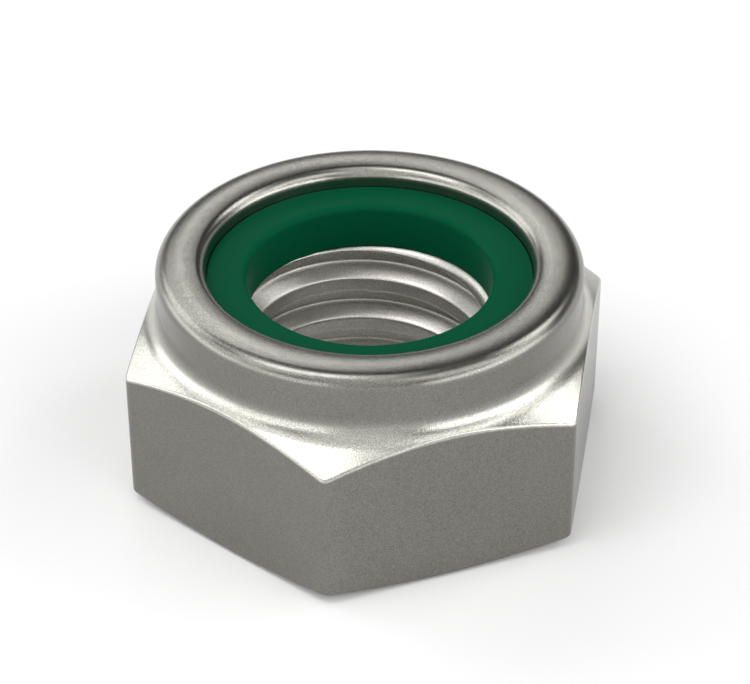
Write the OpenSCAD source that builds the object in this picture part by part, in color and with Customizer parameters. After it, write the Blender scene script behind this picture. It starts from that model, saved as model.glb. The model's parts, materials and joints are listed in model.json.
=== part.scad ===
// Thin hexagon lock nut with a nylon ring gripped under the rolled lip of its collar.
// The origin is the centre of the bearing face, and +Z runs up the thread's axis to the lip.
// Two of the six flats face along Y, so two of the six upright edges lie on X.

/* [Hexagon] */
// Width across the flats
across_flats = 12.7; // [11.5:0.1:14]
// Rounding radius of the six upright edges
edge_round = 0.3; // [0.1:0.05:0.6]
// Height of the crown chamfer's cone at the middle of each flat
crown_height = 4.86; // [4.4:0.02:5.2]
// Slope of the crown chamfer, in degrees from level
crown_angle = 30; // [20:1:35]
// Width of the ledge between the middle of each flat and the flat bearing face
bearing_ledge = 0.3; // [0.1:0.05:0.6]
// Slope of the chamfer round the bearing face, in degrees from level
bearing_angle = 14; // [8:1:25]

/* [Collar] */
// Width of the ledge between the middle of each flat and the collar's wall
collar_ledge = 0.275; // [0.1:0.025:0.5]
// Thickness of the collar's wall and of the lip rolled from it
collar_wall = 0.785; // [0.65:0.005:0.9]
// How far the lip reaches in over the ring from the collar's inner wall
lip_reach = 0.64; // [0.5:0.02:0.9]
// How far the lip's underside is pressed down into the ring's top
lip_bite = 0.15; // [0.05:0.05:0.3]
// Radius of the lip's slightly domed top
lip_dome = 2; // [1.4:0.1:4]
// Rounding radius of the lip's outer edge
lip_outer_round = 0.45; // [0.25:0.01:0.55]
// Rounding radius of the lip's inner edge
lip_inner_round = 0.36; // [0.2:0.02:0.5]
// Radius of the blend between the collar's wall and the crown chamfer
foot_round = 0.9; // [0.4:0.05:1]

/* [Bore] */
// Diameter of the threaded bore at the crests of its thread
bore_d = 6.6; // [6.3:0.05:7]
// Rounding radius of the bore's upper edge, under the ring
bore_top_round = 0.35; // [0.1:0.05:0.5]
// Depth of the countersink in the bearing face
countersink_depth = 0.85; // [0.4:0.05:1.2]
// Slope of the countersink, in degrees from level
countersink_angle = 45; // [35:1:60]

/* [Nylon ring] */
// Height of the seat in the collar that carries the ring
seat_height = 4.84; // [4.4:0.02:5.1]
// Height of the ring from its seat to its top
ring_height = 1.36; // [1.2:0.02:1.7]
// How far the ring's bore stands back from the thread's crests
ring_bore_step = 0.2; // [0.1:0.05:0.4]
// Rounding radius of the upper edge of the ring's bore
ring_bore_round = 0.35; // [0.1:0.05:0.5]
// Rounding radius of the pocket's upper corner, which the ring's shoulder fills
shoulder_round = 0.25; // [0.1:0.05:0.4]
// Gap between the ring and the upright walls round it
ring_gap = 0.02; // [0.01:0.01:0.05]

/* [Hidden] */
steel_colour = "#9b9a93";
nylon_colour = "#0d5034";
// How far a cut runs past the surface that it opens
cut_margin = 0.1;
// How deep a round is let into the surface that it blends with, so that the two meet in a clean line
blend_lap = 0.001;
flat_r = across_flats / 2;
corner_r = flat_r / cos(30);
bearing_r = flat_r - bearing_ledge;
collar_r = flat_r - collar_ledge;
pocket_r = collar_r - collar_wall;
lip_r = pocket_r - lip_reach;
lip_middle_r = (collar_r + lip_r) / 2;
bore_r = bore_d / 2;
ring_bore_r = bore_r + ring_bore_step;
ring_top = seat_height + ring_height;
lip_underside = ring_top - lip_bite;
nut_height = lip_underside + collar_wall;
dome_axis_z = nut_height - lip_dome;
blank_height = nut_height + cut_margin;
countersink_r = bore_r + countersink_depth / tan(countersink_angle);
foot_axis_r = collar_r + foot_round - blend_lap;
foot_axis_z = crown_z(foot_axis_r) + (foot_round - blend_lap) / cos(crown_angle);
foot_end_r = foot_axis_r - foot_round * sin(crown_angle);
edge_axis_r = corner_r - (edge_round - blend_lap) / cos(30);
$fn = 96;

// Height of the crown chamfer's cone at a distance r from the nut's axis
function crown_z(r) = crown_height - (r - flat_r) * tan(crown_angle);

// What is cut from a square corner at the origin to round it, for a solid towards -X and -Y
module corner_cut(radius) {
    translate([-radius, -radius]) difference() {
        square(radius + cut_margin);
        circle(radius);
    }
}

// What is cut to round the lip's edge by its wall at wall_r, up to where the round runs into the dome
module lip_edge_cut(wall_r, radius) {
    outward = sign(wall_r - lip_middle_r);
    axis_r = wall_r - outward * radius;
    tilt = asin(abs(axis_r - lip_middle_r) / (lip_dome - radius));
    far = 2 * radius;
    translate([axis_r, dome_axis_z + (lip_dome - radius) * cos(tilt)]) difference() {
        polygon([
            [0, 0],
            [outward * far, 0],
            [outward * far, far],
            [outward * far * sin(tilt), far * cos(tilt)]
        ]);
        circle(radius);
    }
}

// What is cut from the top of the blank, so that the lip's top is slightly domed
module dome_cut() {
    difference() {
        translate([0, lip_underside]) square([collar_r + cut_margin, blank_height - lip_underside + cut_margin]);
        translate([lip_middle_r, dome_axis_z]) circle(lip_dome);
    }
}

// Hexagon with its six corners rounded
module hexagon_outline() {
    difference() {
        circle(corner_r, $fn = 6);
        for (k = [0:5]) rotate(60 * k) translate([edge_axis_r, 0]) difference() {
            translate([edge_round * cos(30), -edge_round]) square(2 * edge_round);
            circle(edge_round);
        }
    }
}

// Half section of the outside: bearing chamfer, crown chamfer, blended foot, collar and lip
module outside_section() {
    difference() {
        polygon([
            [0, 0],
            [bearing_r, 0],
            [corner_r, (corner_r - bearing_r) * tan(bearing_angle)],
            [corner_r, crown_z(corner_r)],
            [foot_end_r, crown_z(foot_end_r)],
            [collar_r, foot_axis_z],
            [collar_r, blank_height],
            [0, blank_height]
        ]);
        translate([foot_axis_r, foot_axis_z]) circle(foot_round);
        dome_cut();
        lip_edge_cut(collar_r, lip_outer_round);
    }
}

// Half section of the room for the ring: a pocket with a round upper corner, and a neck up to top_z
module ring_room(wall_r, neck_r, top_z) {
    difference() {
        translate([0, seat_height]) square([wall_r, lip_underside - seat_height]);
        translate([wall_r, lip_underside]) corner_cut(shoulder_round);
    }
    translate([0, seat_height]) square([neck_r, top_z - seat_height]);
}

// Half section of all that is hollow: countersink, bore, round lead-in, ring pocket and lip mouth
module hollow_section() {
    polygon([
        [0, -cut_margin],
        [countersink_r + cut_margin / tan(countersink_angle), -cut_margin],
        [bore_r, countersink_depth],
        [bore_r, seat_height + cut_margin],
        [0, seat_height + cut_margin]
    ]);
    translate([bore_r, seat_height]) mirror([1, 0]) corner_cut(bore_top_round);
    ring_room(pocket_r, lip_r, blank_height);
    lip_edge_cut(lip_r, lip_inner_round);
}

// Steel body: hexagon, chamfers, collar and rolled lip, turned from one piece
module nut_body() {
    color(steel_colour) intersection() {
        linear_extrude(blank_height) hexagon_outline();
        rotate_extrude() difference() {
            outside_section();
            hollow_section();
        }
    }
}

// Nylon ring: sits on the seat, fills the pocket and stands up a little inside the lip
module nylon_ring() {
    color(nylon_colour) rotate_extrude() difference() {
        ring_room(pocket_r - ring_gap, lip_r - ring_gap, ring_top);
        translate([0, seat_height - cut_margin]) square([ring_bore_r, ring_height + 2 * cut_margin]);
        translate([ring_bore_r, ring_top]) mirror([1, 0]) corner_cut(ring_bore_round);
    }
}

nut_body();
nylon_ring();
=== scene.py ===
"""Looks of a thin nylon insert lock nut: satin stainless body with a rolled collar, and green nylon ring."""

import json
import logging
import math
from dataclasses import dataclass, field
from enum import Enum

import bpy
import numpy as np
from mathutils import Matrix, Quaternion, Vector


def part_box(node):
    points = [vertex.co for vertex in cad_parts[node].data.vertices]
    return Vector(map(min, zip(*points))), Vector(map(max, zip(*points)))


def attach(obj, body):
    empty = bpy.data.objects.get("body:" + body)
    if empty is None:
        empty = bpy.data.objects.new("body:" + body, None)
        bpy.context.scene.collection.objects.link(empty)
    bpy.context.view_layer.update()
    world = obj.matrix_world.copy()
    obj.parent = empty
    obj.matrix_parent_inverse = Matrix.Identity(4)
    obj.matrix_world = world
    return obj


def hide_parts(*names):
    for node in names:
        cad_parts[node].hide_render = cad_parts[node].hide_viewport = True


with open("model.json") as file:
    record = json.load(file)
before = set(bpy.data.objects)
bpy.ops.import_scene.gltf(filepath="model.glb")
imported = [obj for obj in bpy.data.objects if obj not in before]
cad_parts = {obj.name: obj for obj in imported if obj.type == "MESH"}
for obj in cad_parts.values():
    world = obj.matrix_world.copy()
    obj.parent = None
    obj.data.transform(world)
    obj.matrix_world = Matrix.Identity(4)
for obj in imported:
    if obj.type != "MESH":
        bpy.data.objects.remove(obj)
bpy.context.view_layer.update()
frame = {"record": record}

MM = 0.001
TURN = 2 * math.pi
FLATS = 6
log = logging.getLogger("lock_nut")

Socket = bpy.types.NodeSocket
Value = float | int | bool | tuple | bpy.types.Material | Socket


class Slot(Enum):
    """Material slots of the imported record."""

    STEEL = "stainless_steel"
    NYLON = "green_nylon"


class Node(Enum):
    """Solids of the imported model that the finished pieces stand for."""

    BODY = "nut_body"
    RING = "nylon_ring"


def linear(hex_colour: str) -> tuple[float, float, float, float]:
    """Turns an sRGB hex colour to the linear colour that shaders take.

    Args:
        hex_colour: Six hex digits after a #.

    Returns:
        Red, green, blue and alpha, all from 0 to 1.
    """
    channels = (int(hex_colour[i:i + 2], 16) / 255 for i in (1, 3, 5))
    return *(c / 12.92 if c <= 0.04045 else ((c + 0.055) / 1.055) ** 2.4 for c in channels), 1.0


def add_node(tree: bpy.types.NodeTree, kind: str, feeds: dict[str | int, Value] | None = None,
             **settings: object) -> bpy.types.Node:
    """Adds a node with its settings, values and links.

    Args:
        tree: Tree that gets the node.
        kind: Blender's name of the node's type.
        feeds: For each input, by name or number, a plain value or the socket that feeds it.
        settings: The node's own properties, such as its operation.

    Returns:
        The new node.
    """
    node = tree.nodes.new(kind)
    for name, value in settings.items():
        setattr(node, name, value)
    for name, value in (feeds or {}).items():
        if isinstance(value, Socket):
            tree.links.new(value, node.inputs[name])
        else:
            node.inputs[name].default_value = value
    return node


def noise(tree: bpy.types.NodeTree, place: Socket, width: float, detail: float = 2.0,
          roughness: float = 0.5) -> Socket:
    """Adds a soft noise.

    Args:
        tree: Tree that gets the noise.
        place: Point at which the noise is read, in metres.
        width: Width of its blots, in metres.
        detail: How many finer layers it has.
        roughness: How strong each finer layer is beside the one before.

    Returns:
        The noise, about 0.5 on average.
    """
    return add_node(tree, "ShaderNodeTexNoise", {
        "Vector": place, "Scale": 1 / width, "Detail": detail, "Roughness": roughness}).outputs["Fac"]


def ramp(tree: bpy.types.NodeTree, value: Socket, span: tuple[float, float],
         result: tuple[float, float] = (0.0, 1.0)) -> Socket:
    """Adds a straight ramp that stays level beyond its two ends.

    Args:
        tree: Tree that gets the ramp.
        value: Value at which the ramp is read.
        span: Values at which it starts and ends.
        result: What it gives at its start and at its end.

    Returns:
        The ramp's result.
    """
    return add_node(tree, "ShaderNodeMapRange", {
        "Value": value, "From Min": span[0], "From Max": span[1],
        "To Min": result[0], "To Max": result[1]}).outputs["Result"]


def blend(tree: bpy.types.NodeTree, share: Socket, first: Value, second: Value) -> Socket:
    """Adds a blend of two colours.

    Args:
        tree: Tree that gets the blend.
        share: Share of the second colour.
        first: First colour, plain or from a socket.
        second: Second colour, plain or from a socket.

    Returns:
        The blended colour.
    """
    colours = {"Factor": share, "A": first, "B": second}
    return add_node(tree, "ShaderNodeMix", colours, data_type="RGBA").outputs["Result"]


def combine(tree: bpy.types.NodeTree, operation: str, *terms: Value, label: str = "") -> Socket:
    """Adds a sum, a product or another step of arithmetic.

    Args:
        tree: Tree that gets the step.
        operation: Blender's name of the operation.
        terms: What it works on, in order.
        label: What the result is, in words.

    Returns:
        The result.
    """
    step = add_node(tree, "ShaderNodeMath", dict(enumerate(terms)), operation=operation, label=label)
    return step.outputs["Value"]


def mount_radius(name: str) -> float:
    """Returns the radius of one of the record's round mounts, in metres."""
    mount = next(m for m in frame["record"]["mounts"] if m["name"] == name)
    return mount["dims"]["r_mm"] * MM


def hand_over(mesh: bpy.types.Mesh, name: str, stands_for: Node) -> bpy.types.Object:
    """Makes a piece of the object from a finished mesh and gives it to the frame.

    Args:
        mesh: Mesh in metres, in the frame's own coordinates.
        name: Name of the piece.
        stands_for: Solid that the piece is shown in place of.

    Returns:
        The piece, riding on the root body.
    """
    piece = bpy.data.objects.new(name, mesh)
    bpy.context.scene.collection.objects.link(piece)
    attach(piece, "root")
    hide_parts(stands_for.value)
    log.info("%s: %d faces, stands for %s", name, len(mesh.polygons), stands_for.value)
    return piece


@dataclass(frozen=True)
class SatinStainless:
    """A2 stainless steel, cold formed, then tumbled in fine ceramic chips.

    The tumbling leaves a satin skin of tiny pits with no direction: reflections are soft, and their borders
    break up into a fine sparkle. The steel is a warm grey. The crown's chamfer is painted paler, a painted
    highlight where it faces the lamps, and the lip gets a smaller share of that painted highlight. The bore
    is painted pale too, painted light that lifts the shade inside it, and its thread is rougher and duller.
    """

    # Crown's cone: its height at the middle of the flats, their distance from the axis, and how it falls
    crown_height: float
    flat_radius: float
    crown_fall: float
    collar_radius: float
    colour: str = "#797872"
    pale_colour: str = "#7f7e78"
    # Painted highlight: the crown's chamfer, and in part the lip, are painted in this paler colour where
    # they face the lamps
    crown_highlight_colour: str = "#b7b6ae"
    # Share of the crown's painted highlight that the lip has, and the width over which it comes in
    lip_highlight_share: float = 0.42
    lip_blend: float = 0.3 * MM
    # Width over which the crown's painted highlight runs out at the collar's foot, and at the edge over the
    # flats
    foot_blend: float = 0.12 * MM
    edge_blend: float = 0.05 * MM
    roughness: float = 0.25
    roughness_swing: float = 0.02
    # Real tumbling pits are 10 to 20 micrometres wide. They are drawn at 36 so that the render shows them.
    pit_width: float = 0.036 * MM
    pit_depth: float = 0.0028 * MM
    # Noise values of the deepest pits and of the skin between them, and how far their tones differ
    pit_span: tuple[float, float] = (0.3, 0.7)
    pit_shade: float = 0.4
    # Patches where the chips rubbed a little longer, and the noise values at which they start and are full
    patch_width: float = 1.6 * MM
    patch_span: tuple[float, float] = (0.35, 0.65)
    # Painted light: the bore is painted pale to lift the shade inside it. It is also rougher
    bore_light_colour: str = "#ccc9c3"
    bore_roughness: float = 0.38
    # Distance from the axis at which the bore's painted light and its rougher skin end
    bore_reach: float = 4.1 * MM
    bore_blend: float = 0.1 * MM

    def painted_highlight_share(self, tree: bpy.types.NodeTree, radius: Socket, height: Socket) -> Socket:
        """Adds the mask for the painted highlight on the crown and the rolled lip.

        Args:
            tree: The material's tree.
            radius: Distance from the axis.
            height: Height over the bearing face.

        Returns:
            Share of the painted highlight: 1 on the crown, less on the lip, 0 on the flats and the collar's
                wall.
        """
        cone = combine(tree, "MULTIPLY_ADD", radius, self.crown_fall, height)
        edge = self.crown_height + self.flat_radius * self.crown_fall
        over_flats = ramp(tree, cone, (edge - 2 * self.edge_blend, edge - self.edge_blend))
        off_collar = ramp(tree, radius, (self.collar_radius, self.collar_radius + self.foot_blend))
        on_crown = combine(tree, "MULTIPLY", over_flats, off_collar)
        lip_span = (self.collar_radius - self.lip_blend, self.collar_radius)
        on_lip = ramp(tree, radius, lip_span, (self.lip_highlight_share, 0.0))
        return combine(tree, "MAXIMUM", on_crown, on_lip)

    def material(self) -> bpy.types.Material:
        """Builds the material.

        Returns:
            The steel's material.
        """
        material = bpy.data.materials.new("satin_stainless")
        material.use_nodes = True
        tree = material.node_tree
        shader = tree.nodes["Principled BSDF"]
        place = add_node(tree, "ShaderNodeTexCoord").outputs["Object"]
        height = add_node(tree, "ShaderNodeSeparateXYZ", {0: place}).outputs["Z"]
        across = add_node(tree, "ShaderNodeVectorMath", {0: place, 1: (1.0, 1.0, 0.0)}, operation="MULTIPLY")
        distance = add_node(tree, "ShaderNodeVectorMath", {0: across.outputs["Vector"]}, operation="LENGTH")
        radius = distance.outputs["Value"]
        patches = noise(tree, place, self.patch_width, 3.0, 0.6)
        pits = noise(tree, place, self.pit_width, 1.0)
        in_bore = ramp(tree, radius, (self.bore_reach - self.bore_blend, self.bore_reach + self.bore_blend),
                       (1.0, 0.0))
        rubbed = ramp(tree, patches, self.patch_span,
                      (self.roughness + self.roughness_swing, self.roughness - self.roughness_swing))
        roughness = add_node(tree, "ShaderNodeMix", {
            "Factor": in_bore, "A": rubbed, "B": self.bore_roughness})
        tone = blend(tree, patches, linear(self.colour), linear(self.pale_colour))
        # Painted highlight: the crown and the lip are blended towards the paler highlight colour
        highlighted = blend(tree, self.painted_highlight_share(tree, radius, height), tone, linear(self.crown_highlight_colour))
        # Painted light: the bore is painted pale to lift the shade inside it
        bore_lit = blend(tree, in_bore, highlighted, linear(self.bore_light_colour))
        shade = ramp(tree, pits, self.pit_span, (1 - self.pit_shade / 2, 1 + self.pit_shade / 2))
        pitted = add_node(tree, "ShaderNodeVectorMath", {0: bore_lit, 3: shade}, operation="SCALE")
        skin = add_node(tree, "ShaderNodeBump", {
            "Height": pits, "Distance": self.pit_depth, "Strength": 1.0})
        tree.links.new(pitted.outputs["Vector"], shader.inputs["Base Color"])
        tree.links.new(roughness.outputs["Result"], shader.inputs["Roughness"])
        tree.links.new(skin.outputs["Normal"], shader.inputs["Normal"])
        shader.inputs["Metallic"].default_value = 1.0
        return material


@dataclass(frozen=True)
class MouldedNylon:
    """Nylon 6.6, injection moulded and dyed green through.

    It has a smooth skin with hardly any shine and a deep, even colour, a little lighter where the melt
    flowed thin.
    """

    colour: str = "#044b31"
    flow_colour: str = "#055035"
    roughness: float = 0.3
    ior: float = 1.53
    specular_level: float = 0.012
    # Mould skin, with ripples of about a fifth of a millimetre
    ripple_width: float = 0.2 * MM
    ripple_depth: float = 0.0012 * MM
    flow_width: float = 2.5 * MM

    def material(self) -> bpy.types.Material:
        """Builds the material.

        Returns:
            The nylon's material.
        """
        material = bpy.data.materials.new("moulded_nylon")
        material.use_nodes = True
        tree = material.node_tree
        shader = tree.nodes["Principled BSDF"]
        place = add_node(tree, "ShaderNodeTexCoord").outputs["Object"]
        flow = noise(tree, place, self.flow_width)
        ripples = noise(tree, place, self.ripple_width)
        tone = blend(tree, flow, linear(self.colour), linear(self.flow_colour))
        skin = add_node(tree, "ShaderNodeBump", {
            "Height": ripples, "Distance": self.ripple_depth, "Strength": 1.0})
        tree.links.new(tone, shader.inputs["Base Color"])
        tree.links.new(skin.outputs["Normal"], shader.inputs["Normal"])
        shader.inputs["Roughness"].default_value = self.roughness
        shader.inputs["IOR"].default_value = self.ior
        shader.inputs["Specular IOR Level"].default_value = self.specular_level
        return material


@dataclass
class RingStack:
    """A surface round the Z axis, laid up ring by ring with one vertex in each column."""

    angles: np.ndarray
    rings: list[np.ndarray] = field(default_factory=list)
    # Shares of a straight run at which it gets a ring: close to its ends, so that it is shaded flat
    run_shares: tuple[float, ...] = (0.02, 0.5, 0.98, 1.0)
    least_step: float = 0.0001 * MM

    def add(self, radius: np.ndarray | float, height: np.ndarray | float) -> None:
        """Lays one ring, unless it lies where the last one does.

        Args:
            radius: Distance from the axis, one for all columns or one for each.
            height: Height, one for all columns or one for each.
        """
        shape = self.angles.shape
        ring = np.stack((np.broadcast_to(radius, shape), np.broadcast_to(height, shape)))
        if not self.rings or not np.allclose(self.rings[-1], ring, atol=self.least_step):
            self.rings.append(ring)

    def run_to(self, radius: np.ndarray | float, height: np.ndarray | float) -> None:
        """Lays a straight run of rings from the last one.

        Args:
            radius: Distance from the axis at the run's end.
            height: Height at the run's end.
        """
        start = self.rings[-1]
        for share in self.run_shares:
            self.add(start[0] + share * (radius - start[0]), start[1] + share * (height - start[1]))

    def arc(self, centre: tuple[np.ndarray | float, np.ndarray | float], radius: float,
            start: np.ndarray | float, end: np.ndarray | float, steps: int) -> None:
        """Lays a round run of rings.

        Args:
            centre: Radius and height of the arc's centre.
            radius: Radius of the arc.
            start: Angle at which it starts, from straight out to straight up, in degrees.
            end: Angle at which it ends, in degrees.
            steps: Number of rings after its first one.
        """
        for share in np.linspace(0, 1, steps + 1):
            turned = np.radians(start + share * (end - start))
            self.add(centre[0] + radius * np.cos(turned), centre[1] + radius * np.sin(turned))

    def mesh(self, name: str, closed: bool) -> bpy.types.Mesh:
        """Builds the mesh, with faces that point to the right of the rings' order, seen up from the axis.

        Args:
            name: Name of the mesh.
            closed: True if the last ring joins the first.

        Returns:
            The mesh, shaded smooth.
        """
        joined = closed and np.allclose(self.rings[0], self.rings[-1], atol=self.least_step)
        radius, height = np.stack(self.rings[1:] if joined else self.rings, axis=1)
        points = np.stack((radius * np.cos(self.angles), radius * np.sin(self.angles), height), axis=-1)
        count, columns = radius.shape
        ring = np.arange(count if closed else count - 1)[:, None] * columns
        above = (ring + columns) % (count * columns)
        column = np.arange(columns)[None, :]
        beside = (column + 1) % columns
        quads = np.stack((ring + column, ring + beside, above + beside, above + column), axis=-1)
        mesh = bpy.data.meshes.new(name)
        mesh.from_pydata(points.reshape(-1, 3).tolist(), [], quads.reshape(-1, 4).tolist())
        mesh.shade_smooth()
        return mesh


@dataclass
class ColumnRule:
    """Where the body's columns stand: as many on each flat, and crowded towards the six upright edges."""

    per_flat: int = 48
    # Share by which the columns close up at the upright edges, which are rounded in a small arc
    crowding: float = 0.8

    @property
    def count(self) -> int:
        """Number of columns in a turn."""
        return FLATS * self.per_flat

    def angles(self) -> np.ndarray:
        """Returns each column's angle from +X, in radians."""
        share = np.arange(self.count) / self.count
        return TURN * share - self.crowding / FLATS * np.sin(FLATS * TURN * share)


@dataclass
class InternalThread:
    """The body's right-hand thread, with its countersunk mouth and the rounded edge under the ring."""

    crest_radius: float
    seat_height: float
    seat_radius: float
    columns: ColumnRule
    # 18 threads to the inch
    pitch: float = 25.4 / 18 * MM
    root_radius: float = 3.85 * MM
    groove_mouth: float = 0.97 * MM
    flank_angle: float = 30.0
    # Height of a groove's middle on the side that faces +X
    groove_height: float = 3.978 * MM
    edge_round: float = 0.06 * MM
    countersink_depth: float = 0.85 * MM
    top_round: float = 0.35 * MM
    rows_per_pitch: int = 32
    merge_distance: float = 0.001 * MM

    @property
    def turns(self) -> int:
        """Whole turns that cover the bore, with one more for the slant of the rows."""
        return math.ceil(self.seat_height / self.pitch) + 1

    def sizes(self) -> dict[str, float]:
        """Lists the sizes that the tree is given.

        Returns:
            The tree's named inputs and their values, in metres.
        """
        return {
            "Crest Radius": self.crest_radius,
            "Groove Depth": self.root_radius - self.crest_radius,
            "Pitch": self.pitch,
            "Half Mouth": self.groove_mouth / 2,
            "Groove Height": self.groove_height,
            "Edge Round": self.edge_round,
            "Countersink Depth": self.countersink_depth,
            "Top Round": self.top_round,
            "Seat Height": self.seat_height,
            "Seat Radius": self.seat_radius,
        }

    def formula(self) -> tuple[tuple[str | float, ...], ...]:
        """Writes out how a plain grid is wound into the thread.

        Returns:
            Steps from a point of the grid, u along and v up, to its angle, radius and height. Each has the
            name of its result, the operation and its terms.
        """
        rows = self.turns * self.rows_per_pitch
        return (
            ("u", "ADD", "x", 0.5),
            ("v", "ADD", "y", 0.5),
            # Angle of the column, crowded at the hexagon's edges as the rest of the body is
            ("even angle", "MULTIPLY", "u", TURN),
            ("waves", "MULTIPLY", "even angle", float(FLATS)),
            ("wave", "SINE", "waves"),
            ("crowding", "MULTIPLY", "wave", self.columns.crowding / FLATS),
            ("angle", "SUBTRACT", "even angle", "crowding"),
            ("turn", "DIVIDE", "angle", TURN),
            # Height of the row, which climbs one pitch in a turn and is held between the two faces
            ("rows up", "MULTIPLY", "v", float(self.turns)),
            ("pitches up", "ADD", "rows up", "turn"),
            ("from below", "SUBTRACT", "pitches up", 1.0),
            ("climb", "MULTIPLY", "from below", "Pitch"),
            ("above the floor", "MAXIMUM", "climb", 0.0),
            ("height", "MINIMUM", "above the floor", "Seat Height"),
            # Depth of the groove, from how far the point lies above or below the groove's middle
            ("over the groove", "SUBTRACT", "height", "Groove Height"),
            ("in pitches", "DIVIDE", "over the groove", "Pitch"),
            ("phase", "SUBTRACT", "in pitches", "turn"),
            ("share off", "PINGPONG", "phase", 0.5),
            ("distance off", "MULTIPLY", "share off", "Pitch"),
            ("inside the mouth", "SUBTRACT", "Half Mouth", "distance off"),
            ("flank", "MULTIPLY", "inside the mouth", 1 / math.tan(math.radians(self.flank_angle))),
            ("flank and crest", "SMOOTH_MAX", "flank", 0.0, "Edge Round"),
            ("groove", "SMOOTH_MIN", "flank and crest", "Groove Depth", "Edge Round"),
            # Depth of the countersink, which falls away at 45 degrees
            ("countersink", "SUBTRACT", "Countersink Depth", "height"),
            # Depth of the rounded edge under the ring
            ("below the seat", "SUBTRACT", "Seat Height", "height"),
            ("short of the round", "SUBTRACT", "Top Round", "below the seat"),
            ("into the round", "MAXIMUM", "short of the round", 0.0),
            ("share of the round", "DIVIDE", "into the round", "Top Round"),
            ("round's turn", "ARCSINE", "share of the round"),
            ("round's reach", "COSINE", "round's turn"),
            ("round's fall", "SUBTRACT", 1.0, "round's reach"),
            ("round", "MULTIPLY", "round's fall", "Top Round"),
            # The deepest of the three is what is cut, and the last row runs out over the seat
            ("mouths", "MAXIMUM", "countersink", "round"),
            ("cut", "SMOOTH_MAX", "groove", "mouths", "Edge Round"),
            ("bore radius", "ADD", "Crest Radius", "cut"),
            ("last row", "GREATER_THAN", "v", 1 - 0.5 / rows),
            ("to the seat", "SUBTRACT", "Seat Radius", "bore radius"),
            ("radius", "MULTIPLY_ADD", "last row", "to the seat", "bore radius"),
            ("across", "COSINE", "angle"),
            ("along", "SINE", "angle"),
            ("new x", "MULTIPLY", "radius", "across"),
            ("new y", "MULTIPLY", "radius", "along"),
        )

    def tree(self) -> bpy.types.NodeTree:
        """Builds the tree that winds a plain grid into the thread and joins it to the rest of the body.

        Returns:
            A geometry node tree, given the body without its bore, the thread's sizes and the material.
        """
        tree = bpy.data.node_groups.new("internal_thread", "GeometryNodeTree")
        face = tree.interface
        face.new_socket("Geometry", in_out="OUTPUT", socket_type="NodeSocketGeometry")
        face.new_socket("Geometry", in_out="INPUT", socket_type="NodeSocketGeometry")
        for name, size in self.sizes().items():
            face.new_socket(name, in_out="INPUT", socket_type="NodeSocketFloat").default_value = size
        face.new_socket("Material", in_out="INPUT", socket_type="NodeSocketMaterial")
        given = add_node(tree, "NodeGroupInput").outputs
        grid = add_node(tree, "GeometryNodeMeshGrid", {
            "Size X": 1.0, "Size Y": 1.0, "Vertices X": self.columns.count + 1,
            "Vertices Y": self.turns * self.rows_per_pitch + 1})
        point = add_node(tree, "ShaderNodeSeparateXYZ", {
            "Vector": add_node(tree, "GeometryNodeInputPosition").outputs["Position"]})
        known = {name: given[name] for name in self.sizes()}
        known |= {"x": point.outputs["X"], "y": point.outputs["Y"]}
        for name, operation, *terms in self.formula():
            known[name] = combine(tree, operation, *(known.get(term, term) for term in terms), label=name)
        wound = add_node(tree, "ShaderNodeCombineXYZ", {
            "X": known["new x"], "Y": known["new y"], "Z": known["height"]})
        placed = add_node(tree, "GeometryNodeSetPosition", {
            "Geometry": grid.outputs["Mesh"], "Position": wound.outputs["Vector"]})
        bore = add_node(tree, "GeometryNodeFlipFaces", {"Mesh": placed.outputs["Geometry"]})
        joined = add_node(tree, "GeometryNodeJoinGeometry")
        tree.links.new(given["Geometry"], joined.inputs["Geometry"])
        tree.links.new(bore.outputs["Mesh"], joined.inputs["Geometry"])
        closed = add_node(tree, "GeometryNodeMergeByDistance", {
            "Geometry": joined.outputs["Geometry"], "Distance": self.merge_distance})
        smooth = add_node(tree, "GeometryNodeSetShadeSmooth", {"Geometry": closed.outputs["Geometry"]})
        real = add_node(tree, "GeometryNodeRealizeInstances", {"Geometry": smooth.outputs["Geometry"]})
        dressed = add_node(tree, "GeometryNodeSetMaterial", {
            "Geometry": real.outputs["Geometry"], "Material": given["Material"]})
        add_node(tree, "NodeGroupOutput", {"Geometry": dressed.outputs["Geometry"]})
        return tree

    def cut_into(self, shell: bpy.types.Mesh, material: bpy.types.Material) -> bpy.types.Mesh:
        """Adds the threaded bore to a body that is open there.

        Args:
            shell: The body's mesh, open from the countersink's rim to the seat.
            material: Material of the body.

        Returns:
            The closed mesh.
        """
        blank = bpy.data.objects.new("thread_blank", shell)
        bpy.context.scene.collection.objects.link(blank)
        cutter = blank.modifiers.new("thread", "NODES")
        cutter.node_group = self.tree()
        sockets = {item.name: item.identifier for item in cutter.node_group.interface.items_tree
                   if item.in_out == "INPUT"}
        for name, size in self.sizes().items():
            cutter[sockets[name]] = size
        cutter[sockets["Material"]] = material
        ready = blank.evaluated_get(bpy.context.evaluated_depsgraph_get())
        mesh = bpy.data.meshes.new_from_object(ready)
        blank.modifiers.remove(cutter)
        bpy.data.objects.remove(blank)
        mesh.name = "threaded_body"
        return mesh


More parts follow.
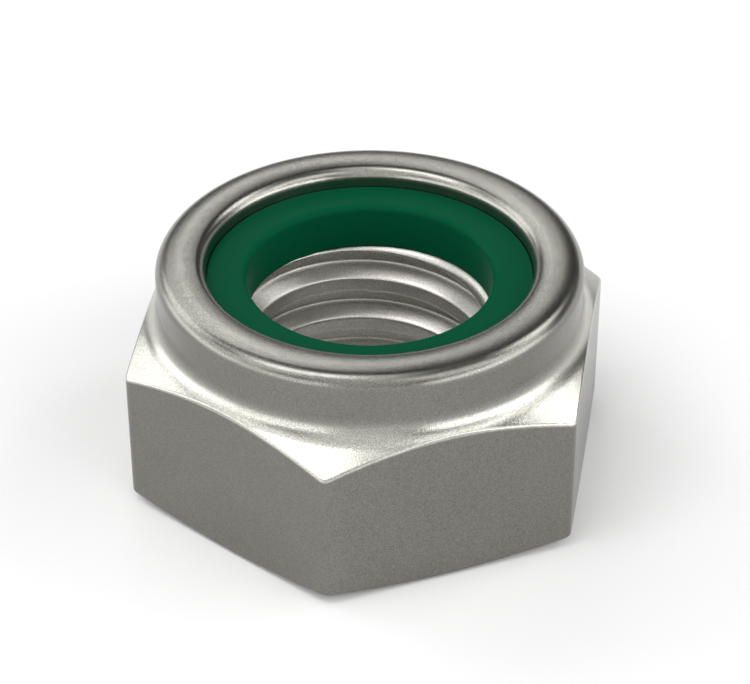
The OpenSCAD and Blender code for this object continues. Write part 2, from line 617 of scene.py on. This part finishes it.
@dataclass
class NutBody:
    """The steel body: hexagon, crown, rolled collar, ring pocket and threaded bore."""

    flat_radius: float
    height: float
    seat_height: float
    bore_radius: float
    columns: ColumnRule = field(default_factory=ColumnRule)
    upright_round: float = 0.3 * MM
    rim_round: float = 0.1 * MM
    bearing_ledge: float = 0.3 * MM
    bearing_angle: float = 14.0
    crown_height: float = 4.86 * MM
    crown_angle: float = 30.0
    collar_ledge: float = 0.275 * MM
    collar_wall: float = 0.785 * MM
    lip_reach: float = 0.64 * MM
    lip_dome: float = 2.0 * MM
    lip_outer_round: float = 0.45 * MM
    lip_inner_round: float = 0.36 * MM
    shoulder_round: float = 0.25 * MM
    foot_round: float = 0.9 * MM
    # Width of the flat seat that is laid with the thread
    seat_margin: float = 0.7 * MM
    # How far inside the flats the crown's rings, which start on the hexagon, have become round
    settling: float = 0.15 * MM
    # Shares of that way at which rings are laid: one close to the rim, the others evenly
    settling_shares: tuple[float, ...] = (0.03, *np.linspace(0.1, 1, 10))
    rim_steps: int = 5
    foot_steps: int = 7
    lip_steps: int = 12
    dome_steps: int = 6
    shoulder_steps: int = 6

    def __post_init__(self) -> None:
        """Works out the lip's height, the radii and the foot's centre."""
        self.lip_underside = self.height - self.collar_wall
        self.collar_radius = self.flat_radius - self.collar_ledge
        self.pocket_radius = self.collar_radius - self.collar_wall
        self.lip_radius = self.pocket_radius - self.lip_reach
        self.foot_radius = self.collar_radius + self.foot_round
        slope = math.radians(self.crown_angle)
        self.crown_fall = math.tan(slope)
        self.foot_height = self.crown_cone(self.foot_radius) + self.foot_round / math.cos(slope)

    def crown_cone(self, radius: np.ndarray | float) -> np.ndarray | float:
        """Returns the crown cone's height at a distance from the axis."""
        return self.crown_height - (radius - self.flat_radius) * self.crown_fall

    def crown(self, radius: np.ndarray) -> np.ndarray:
        """Follows the crown over its cone and its blended foot.

        Args:
            radius: Distance from the axis, outside the collar.

        Returns:
            Height of the crown there.
        """
        tangent = self.foot_radius - self.foot_round * math.sin(math.radians(self.crown_angle))
        inward = np.minimum(self.foot_radius - radius, self.foot_round)
        foot = self.foot_height - np.sqrt(self.foot_round ** 2 - inward ** 2)
        return np.where(radius > tangent, self.crown_cone(radius), foot)

    def outline(self) -> np.ndarray:
        """Follows the hexagon with its six rounded edges.

        Returns:
            Distance of the flats and edges from the axis at each column.
        """
        half = TURN / FLATS / 2
        off_edge = np.abs((self.columns.angles() + half) % (2 * half) - half)
        flat = self.flat_radius / np.cos(half - off_edge)
        axis = (self.flat_radius - self.upright_round) / math.cos(half)
        reach = self.upright_round ** 2 - (axis * np.sin(off_edge)) ** 2
        arc = axis * np.cos(off_edge) + np.sqrt(np.maximum(reach, 0))
        tangent = math.atan2(self.upright_round * math.sin(half), axis + self.upright_round * math.cos(half))
        return np.where(off_edge < tangent, arc, flat)

    def lay_bearing_face(self, stack: RingStack) -> None:
        """Lays the bearing face, the chamfer round it and the rounded rim under the flats.

        Args:
            stack: The body's surface, laid up to the countersink's rim.
        """
        outline, slope = self.outline(), math.radians(self.bearing_angle)
        bearing_radius = self.flat_radius - self.bearing_ledge
        axis = outline - self.rim_round
        height = (axis - bearing_radius) * math.tan(slope) + self.rim_round / math.cos(slope)
        stack.run_to(bearing_radius, 0.0)
        stack.run_to(axis + self.rim_round * math.sin(slope), height - self.rim_round * math.cos(slope))
        stack.arc((axis, height), self.rim_round, self.bearing_angle - 90, 0.0, self.rim_steps)

    def lay_crown(self, stack: RingStack) -> None:
        """Lays the flats, the rounded rim above them, the crown and the foot of the collar.

        Args:
            stack: The body's surface, laid up to the foot of the flats.
        """
        axis = self.outline() - self.rim_round
        slope = math.radians(self.crown_angle)
        inward = np.minimum(self.foot_radius - axis, self.foot_round + self.rim_round)
        over_foot = self.foot_height - np.sqrt((self.foot_round + self.rim_round) ** 2 - inward ** 2)
        over_cone = self.crown_cone(axis) - self.rim_round / math.cos(slope)
        tangent = self.foot_radius - (self.foot_round + self.rim_round) * math.sin(slope)
        on_cone = axis > tangent
        height = np.where(on_cone, over_cone, over_foot)
        towards_foot = np.degrees(np.arctan2(self.foot_height - height, self.foot_radius - axis))
        end = np.where(on_cone, 90 - self.crown_angle, towards_foot)
        stack.run_to(axis + self.rim_round, height)
        stack.arc((axis, height), self.rim_round, 0.0, end, self.rim_steps)
        start = stack.rings[-1][0]
        settled = self.flat_radius - self.settling
        for share in self.settling_shares:
            radius = start + share * (settled - start)
            stack.add(radius, self.crown(radius))
        turned = math.degrees(math.acos((self.foot_radius - settled) / self.foot_round))
        foot = (self.foot_radius, self.foot_height)
        stack.arc(foot, self.foot_round, 180 + turned, 180.0, self.foot_steps)

    def lay_collar(self, stack: RingStack) -> None:
        """Lays the collar's wall, the rolled lip and the pocket for the ring, down to the seat.

        Args:
            stack: The body's surface, laid up to the foot of the collar.
        """
        dome_axis = (self.collar_radius + self.lip_radius) / 2
        dome_height = self.height - self.lip_dome
        outer_axis = self.collar_radius - self.lip_outer_round
        inner_axis = self.lip_radius + self.lip_inner_round
        outer_tilt = math.asin((outer_axis - dome_axis) / (self.lip_dome - self.lip_outer_round))
        inner_tilt = math.asin((dome_axis - inner_axis) / (self.lip_dome - self.lip_inner_round))
        outer_height = dome_height + (self.lip_dome - self.lip_outer_round) * math.cos(outer_tilt)
        inner_height = dome_height + (self.lip_dome - self.lip_inner_round) * math.cos(inner_tilt)
        dome_start, dome_end = 90 - math.degrees(outer_tilt), 90 + math.degrees(inner_tilt)
        shoulder = (self.pocket_radius - self.shoulder_round, self.lip_underside - self.shoulder_round)
        stack.run_to(self.collar_radius, outer_height)
        stack.arc((outer_axis, outer_height), self.lip_outer_round, 0.0, dome_start, self.lip_steps)
        stack.arc((dome_axis, dome_height), self.lip_dome, dome_start, dome_end, self.dome_steps)
        stack.arc((inner_axis, inner_height), self.lip_inner_round, dome_end, 180.0, self.lip_steps)
        stack.run_to(self.lip_radius, self.lip_underside)
        stack.run_to(shoulder[0], self.lip_underside)
        stack.arc(shoulder, self.shoulder_round, 90.0, 0.0, self.shoulder_steps)
        stack.run_to(self.pocket_radius, self.seat_height)
        stack.run_to(self.bore_radius + self.seat_margin, self.seat_height)

    def build(self, finish: SatinStainless) -> bpy.types.Object:
        """Builds and dresses the body.

        Args:
            finish: Finish of the steel.

        Returns:
            The finished piece.
        """
        seat_radius = self.bore_radius + self.seat_margin
        thread = InternalThread(self.bore_radius, self.seat_height, seat_radius, self.columns)
        stack = RingStack(self.columns.angles())
        stack.add(self.bore_radius + thread.countersink_depth, 0.0)
        self.lay_bearing_face(stack)
        self.lay_crown(stack)
        self.lay_collar(stack)
        mesh = thread.cut_into(stack.mesh("body_shell", closed=False), finish.material())
        return hand_over(mesh, "lock_nut_body", Node.BODY)


@dataclass
class NylonRing:
    """The captive ring, with its rounded bore and its shoulder under the lip."""

    radius: float
    seat_height: float
    top: float
    bore_radius: float
    lip_radius: float
    lip_underside: float
    bore_round: float = 0.17 * MM
    shoulder_round: float = 0.25 * MM
    columns: int = 256
    bore_steps: int = 8
    shoulder_steps: int = 6

    def build(self, finish: MouldedNylon) -> bpy.types.Object:
        """Builds and dresses the ring.

        Args:
            finish: Finish of the nylon.

        Returns:
            The finished piece.
        """
        bore_edge = (self.bore_radius + self.bore_round, self.top - self.bore_round)
        shoulder = (self.radius - self.shoulder_round, self.lip_underside - self.shoulder_round)
        stack = RingStack(TURN * np.arange(self.columns) / self.columns)
        stack.add(self.bore_radius, self.seat_height)
        stack.run_to(self.radius, self.seat_height)
        stack.run_to(self.radius, shoulder[1])
        stack.arc(shoulder, self.shoulder_round, 0.0, 90.0, self.shoulder_steps)
        stack.run_to(self.lip_radius, self.lip_underside)
        stack.run_to(self.lip_radius, self.top)
        stack.run_to(bore_edge[0], self.top)
        stack.arc(bore_edge, self.bore_round, 90.0, 180.0, self.bore_steps)
        stack.run_to(self.bore_radius, self.seat_height)
        mesh = stack.mesh("ring", closed=True)
        mesh.materials.append(finish.material())
        return hand_over(mesh, "captive_nylon_ring", Node.RING)


@dataclass(frozen=True)
class SoftBox:
    """A studio soft box that faces the nut."""

    name: str
    # Where it hangs, seen from the nut: degrees to the right of the camera, and above the horizon
    azimuth: float
    elevation: float
    # Width and height seen from the nut, in degrees
    width: float
    height: float
    # Brightness of its face, where 1 is the white of the render
    glow: float
    # Turn about the line to the nut, in degrees
    turn: float = 0.0
    distance: float = 2.0

    def place(self, target: Vector, camera_bearing: float) -> bpy.types.Object:
        """Hangs the lamp.

        Args:
            target: Point that it faces.
            camera_bearing: Angle of the camera's side from +X, in degrees.

        Returns:
            The lamp.
        """
        around, up = math.radians(camera_bearing + self.azimuth), math.radians(self.elevation)
        out = Vector((math.cos(around) * math.cos(up), math.sin(around) * math.cos(up), math.sin(up)))
        light = bpy.data.lights.new(self.name, "AREA")
        light.shape = "RECTANGLE"
        light.size = 2 * self.distance * math.tan(math.radians(self.width / 2))
        light.size_y = 2 * self.distance * math.tan(math.radians(self.height / 2))
        light.energy = self.glow * math.pi * light.size * light.size_y
        lamp = bpy.data.objects.new(self.name, light)
        lamp.location = target + out * self.distance
        lamp.rotation_mode = "QUATERNION"
        turned = Quaternion((0.0, 0.0, 1.0), math.radians(self.turn))
        lamp.rotation_quaternion = out.to_track_quat("Z", "Y") @ turned
        bpy.context.scene.collection.objects.link(lamp)
        return lamp


@dataclass
class Studio:
    """Plain pale floor, soft light and the camera."""

    # Camera: bearing from the nut, height above the horizon, distance, and the point that it looks at
    camera_azimuth: float = -20.4467
    camera_elevation: float = 35.0687
    camera_distance: float = 71.535 * MM
    camera_target: tuple[float, float, float] = (0.136 * MM, -0.051 * MM, 3.776 * MM)
    lens_mm: float = 118.616
    sensor_mm: float = 36.0
    nearest: float = 1 * MM
    farthest: float = 10.0
    floor_size: float = 2.4
    floor_colour: str = "#f6f6f6"
    # The room is white up to just over the horizon and dim above, and changes between two heights in degrees
    horizon_glow: float = 1.0
    room_glow: float = 0.07
    horizon_top: float = 4.0
    room_start: float = 9.0
    boxes: tuple[SoftBox, ...] = (
        SoftBox("left_rear_box", -127.0, 32.0, 30.0, 28.0, 2.48),
        SoftBox("left_rear_high_box", -100.0, 60.0, 22.0, 20.0, 0.88),
        SoftBox("left_top_box", -66.0, 67.0, 17.0, 30.0, 3.76, -27.0),
        SoftBox("rear_left_box", -162.0, 42.0, 24.0, 24.0, 1.6),
        SoftBox("rear_box", 178.0, 34.0, 16.0, 20.0, 1.12),
        SoftBox("left_low_box", -95.0, 9.0, 60.0, 18.0, 2.48),
        SoftBox("left_box", -84.0, 28.0, 46.0, 22.0, 1.28),
        SoftBox("left_high_box", -60.0, 46.0, 28.0, 24.0, 1.36),
        SoftBox("left_front_box", -42.0, 13.0, 40.0, 22.0, 2.16),
        SoftBox("right_low_box", 62.0, 12.0, 68.0, 20.0, 3.28),
        SoftBox("right_box", 86.0, 32.0, 34.0, 22.0, 1.76),
        SoftBox("right_high_box", 52.0, 44.0, 32.0, 26.0, 1.76),
        SoftBox("right_rear_box", 115.0, 43.0, 20.0, 20.0, 3.52),
        SoftBox("front_low_box", -4.0, 18.0, 44.0, 30.0, 0.8),
        SoftBox("front_box", -4.0, 48.0, 48.0, 32.0, 0.88),
        SoftBox("front_top_box", 0.0, 68.0, 34.0, 18.0, 0.64),
        SoftBox("top_box", 0.0, 86.0, 22.0, 22.0, 1.2),
    )

    def build_camera(self) -> None:
        """Places the camera at the photograph's viewing angle."""
        around, up = math.radians(self.camera_azimuth), math.radians(self.camera_elevation)
        back = Vector((math.sin(around) * math.cos(up), -math.cos(around) * math.cos(up), math.sin(up)))
        lens = bpy.data.cameras.new("camera")
        lens.sensor_fit = "HORIZONTAL"
        lens.sensor_width = self.sensor_mm
        lens.lens = self.lens_mm
        lens.clip_start = self.nearest
        lens.clip_end = self.farthest
        camera = bpy.data.objects.new("camera", lens)
        camera.location = Vector(self.camera_target) + back * self.camera_distance
        camera.rotation_mode = "QUATERNION"
        camera.rotation_quaternion = back.to_track_quat("Z", "Y")
        bpy.context.scene.collection.objects.link(camera)
        bpy.context.scene.camera = camera

    def build_floor(self) -> None:
        """Lays the floor, a sheet of matt white paper."""
        half = self.floor_size / 2
        mesh = bpy.data.meshes.new("floor")
        corners = [(-half, -half, 0), (half, -half, 0), (half, half, 0), (-half, half, 0)]
        mesh.from_pydata(corners, [], [(0, 1, 2, 3)])
        material = bpy.data.materials.new("matt_paper")
        material.use_nodes = True
        shader = material.node_tree.nodes["Principled BSDF"]
        shader.inputs["Base Color"].default_value = linear(self.floor_colour)
        shader.inputs["Roughness"].default_value = 1.0
        shader.inputs["Specular IOR Level"].default_value = 0.0
        mesh.materials.append(material)
        floor = bpy.data.objects.new("floor", mesh)
        bpy.context.scene.collection.objects.link(floor)

    def build_light(self) -> None:
        """Hangs the soft boxes and lights the room round them."""
        for box in self.boxes:
            box.place(Vector(self.camera_target), self.camera_azimuth - 90)
        world = bpy.data.worlds.new("room")
        world.use_nodes = True
        tree = world.node_tree
        direction = add_node(tree, "ShaderNodeTexCoord").outputs["Generated"]
        rise = add_node(tree, "ShaderNodeSeparateXYZ", {0: direction}).outputs["Z"]
        change = (math.sin(math.radians(self.horizon_top)), math.sin(math.radians(self.room_start)))
        glow = ramp(tree, rise, change, (self.horizon_glow, self.room_glow))
        background = tree.nodes["Background"]
        background.inputs["Color"].default_value = (1.0, 1.0, 1.0, 1.0)
        tree.links.new(glow, background.inputs["Strength"])
        bpy.context.scene.world = world

    def build(self) -> None:
        """Builds the studio."""
        self.build_camera()
        self.build_floor()
        self.build_light()
        bpy.context.scene.view_settings.view_transform = "Standard"
        log.info("studio: %d soft boxes", len(self.boxes))


def main() -> None:
    """Builds the nut from the frame's sizes, then the studio."""
    logging.basicConfig(level=logging.INFO, format="%(message)s")
    body_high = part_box(Node.BODY.value)[1]
    ring_low, ring_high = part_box(Node.RING.value)
    body = NutBody(
        flat_radius=body_high.y,
        height=body_high.z,
        seat_height=ring_low.z,
        bore_radius=mount_radius("thread"),
    )
    ring_gap = body.pocket_radius - ring_high.x
    ring = NylonRing(
        radius=ring_high.x,
        seat_height=ring_low.z,
        top=ring_high.z,
        bore_radius=mount_radius("ring_bore"),
        lip_radius=body.lip_radius - ring_gap,
        lip_underside=body.lip_underside,
    )
    body.build(SatinStainless(body.crown_height, body.flat_radius, body.crown_fall, body.collar_radius))
    ring.build(MouldedNylon())
    Studio().build()


if __name__ == "__main__":
    main()
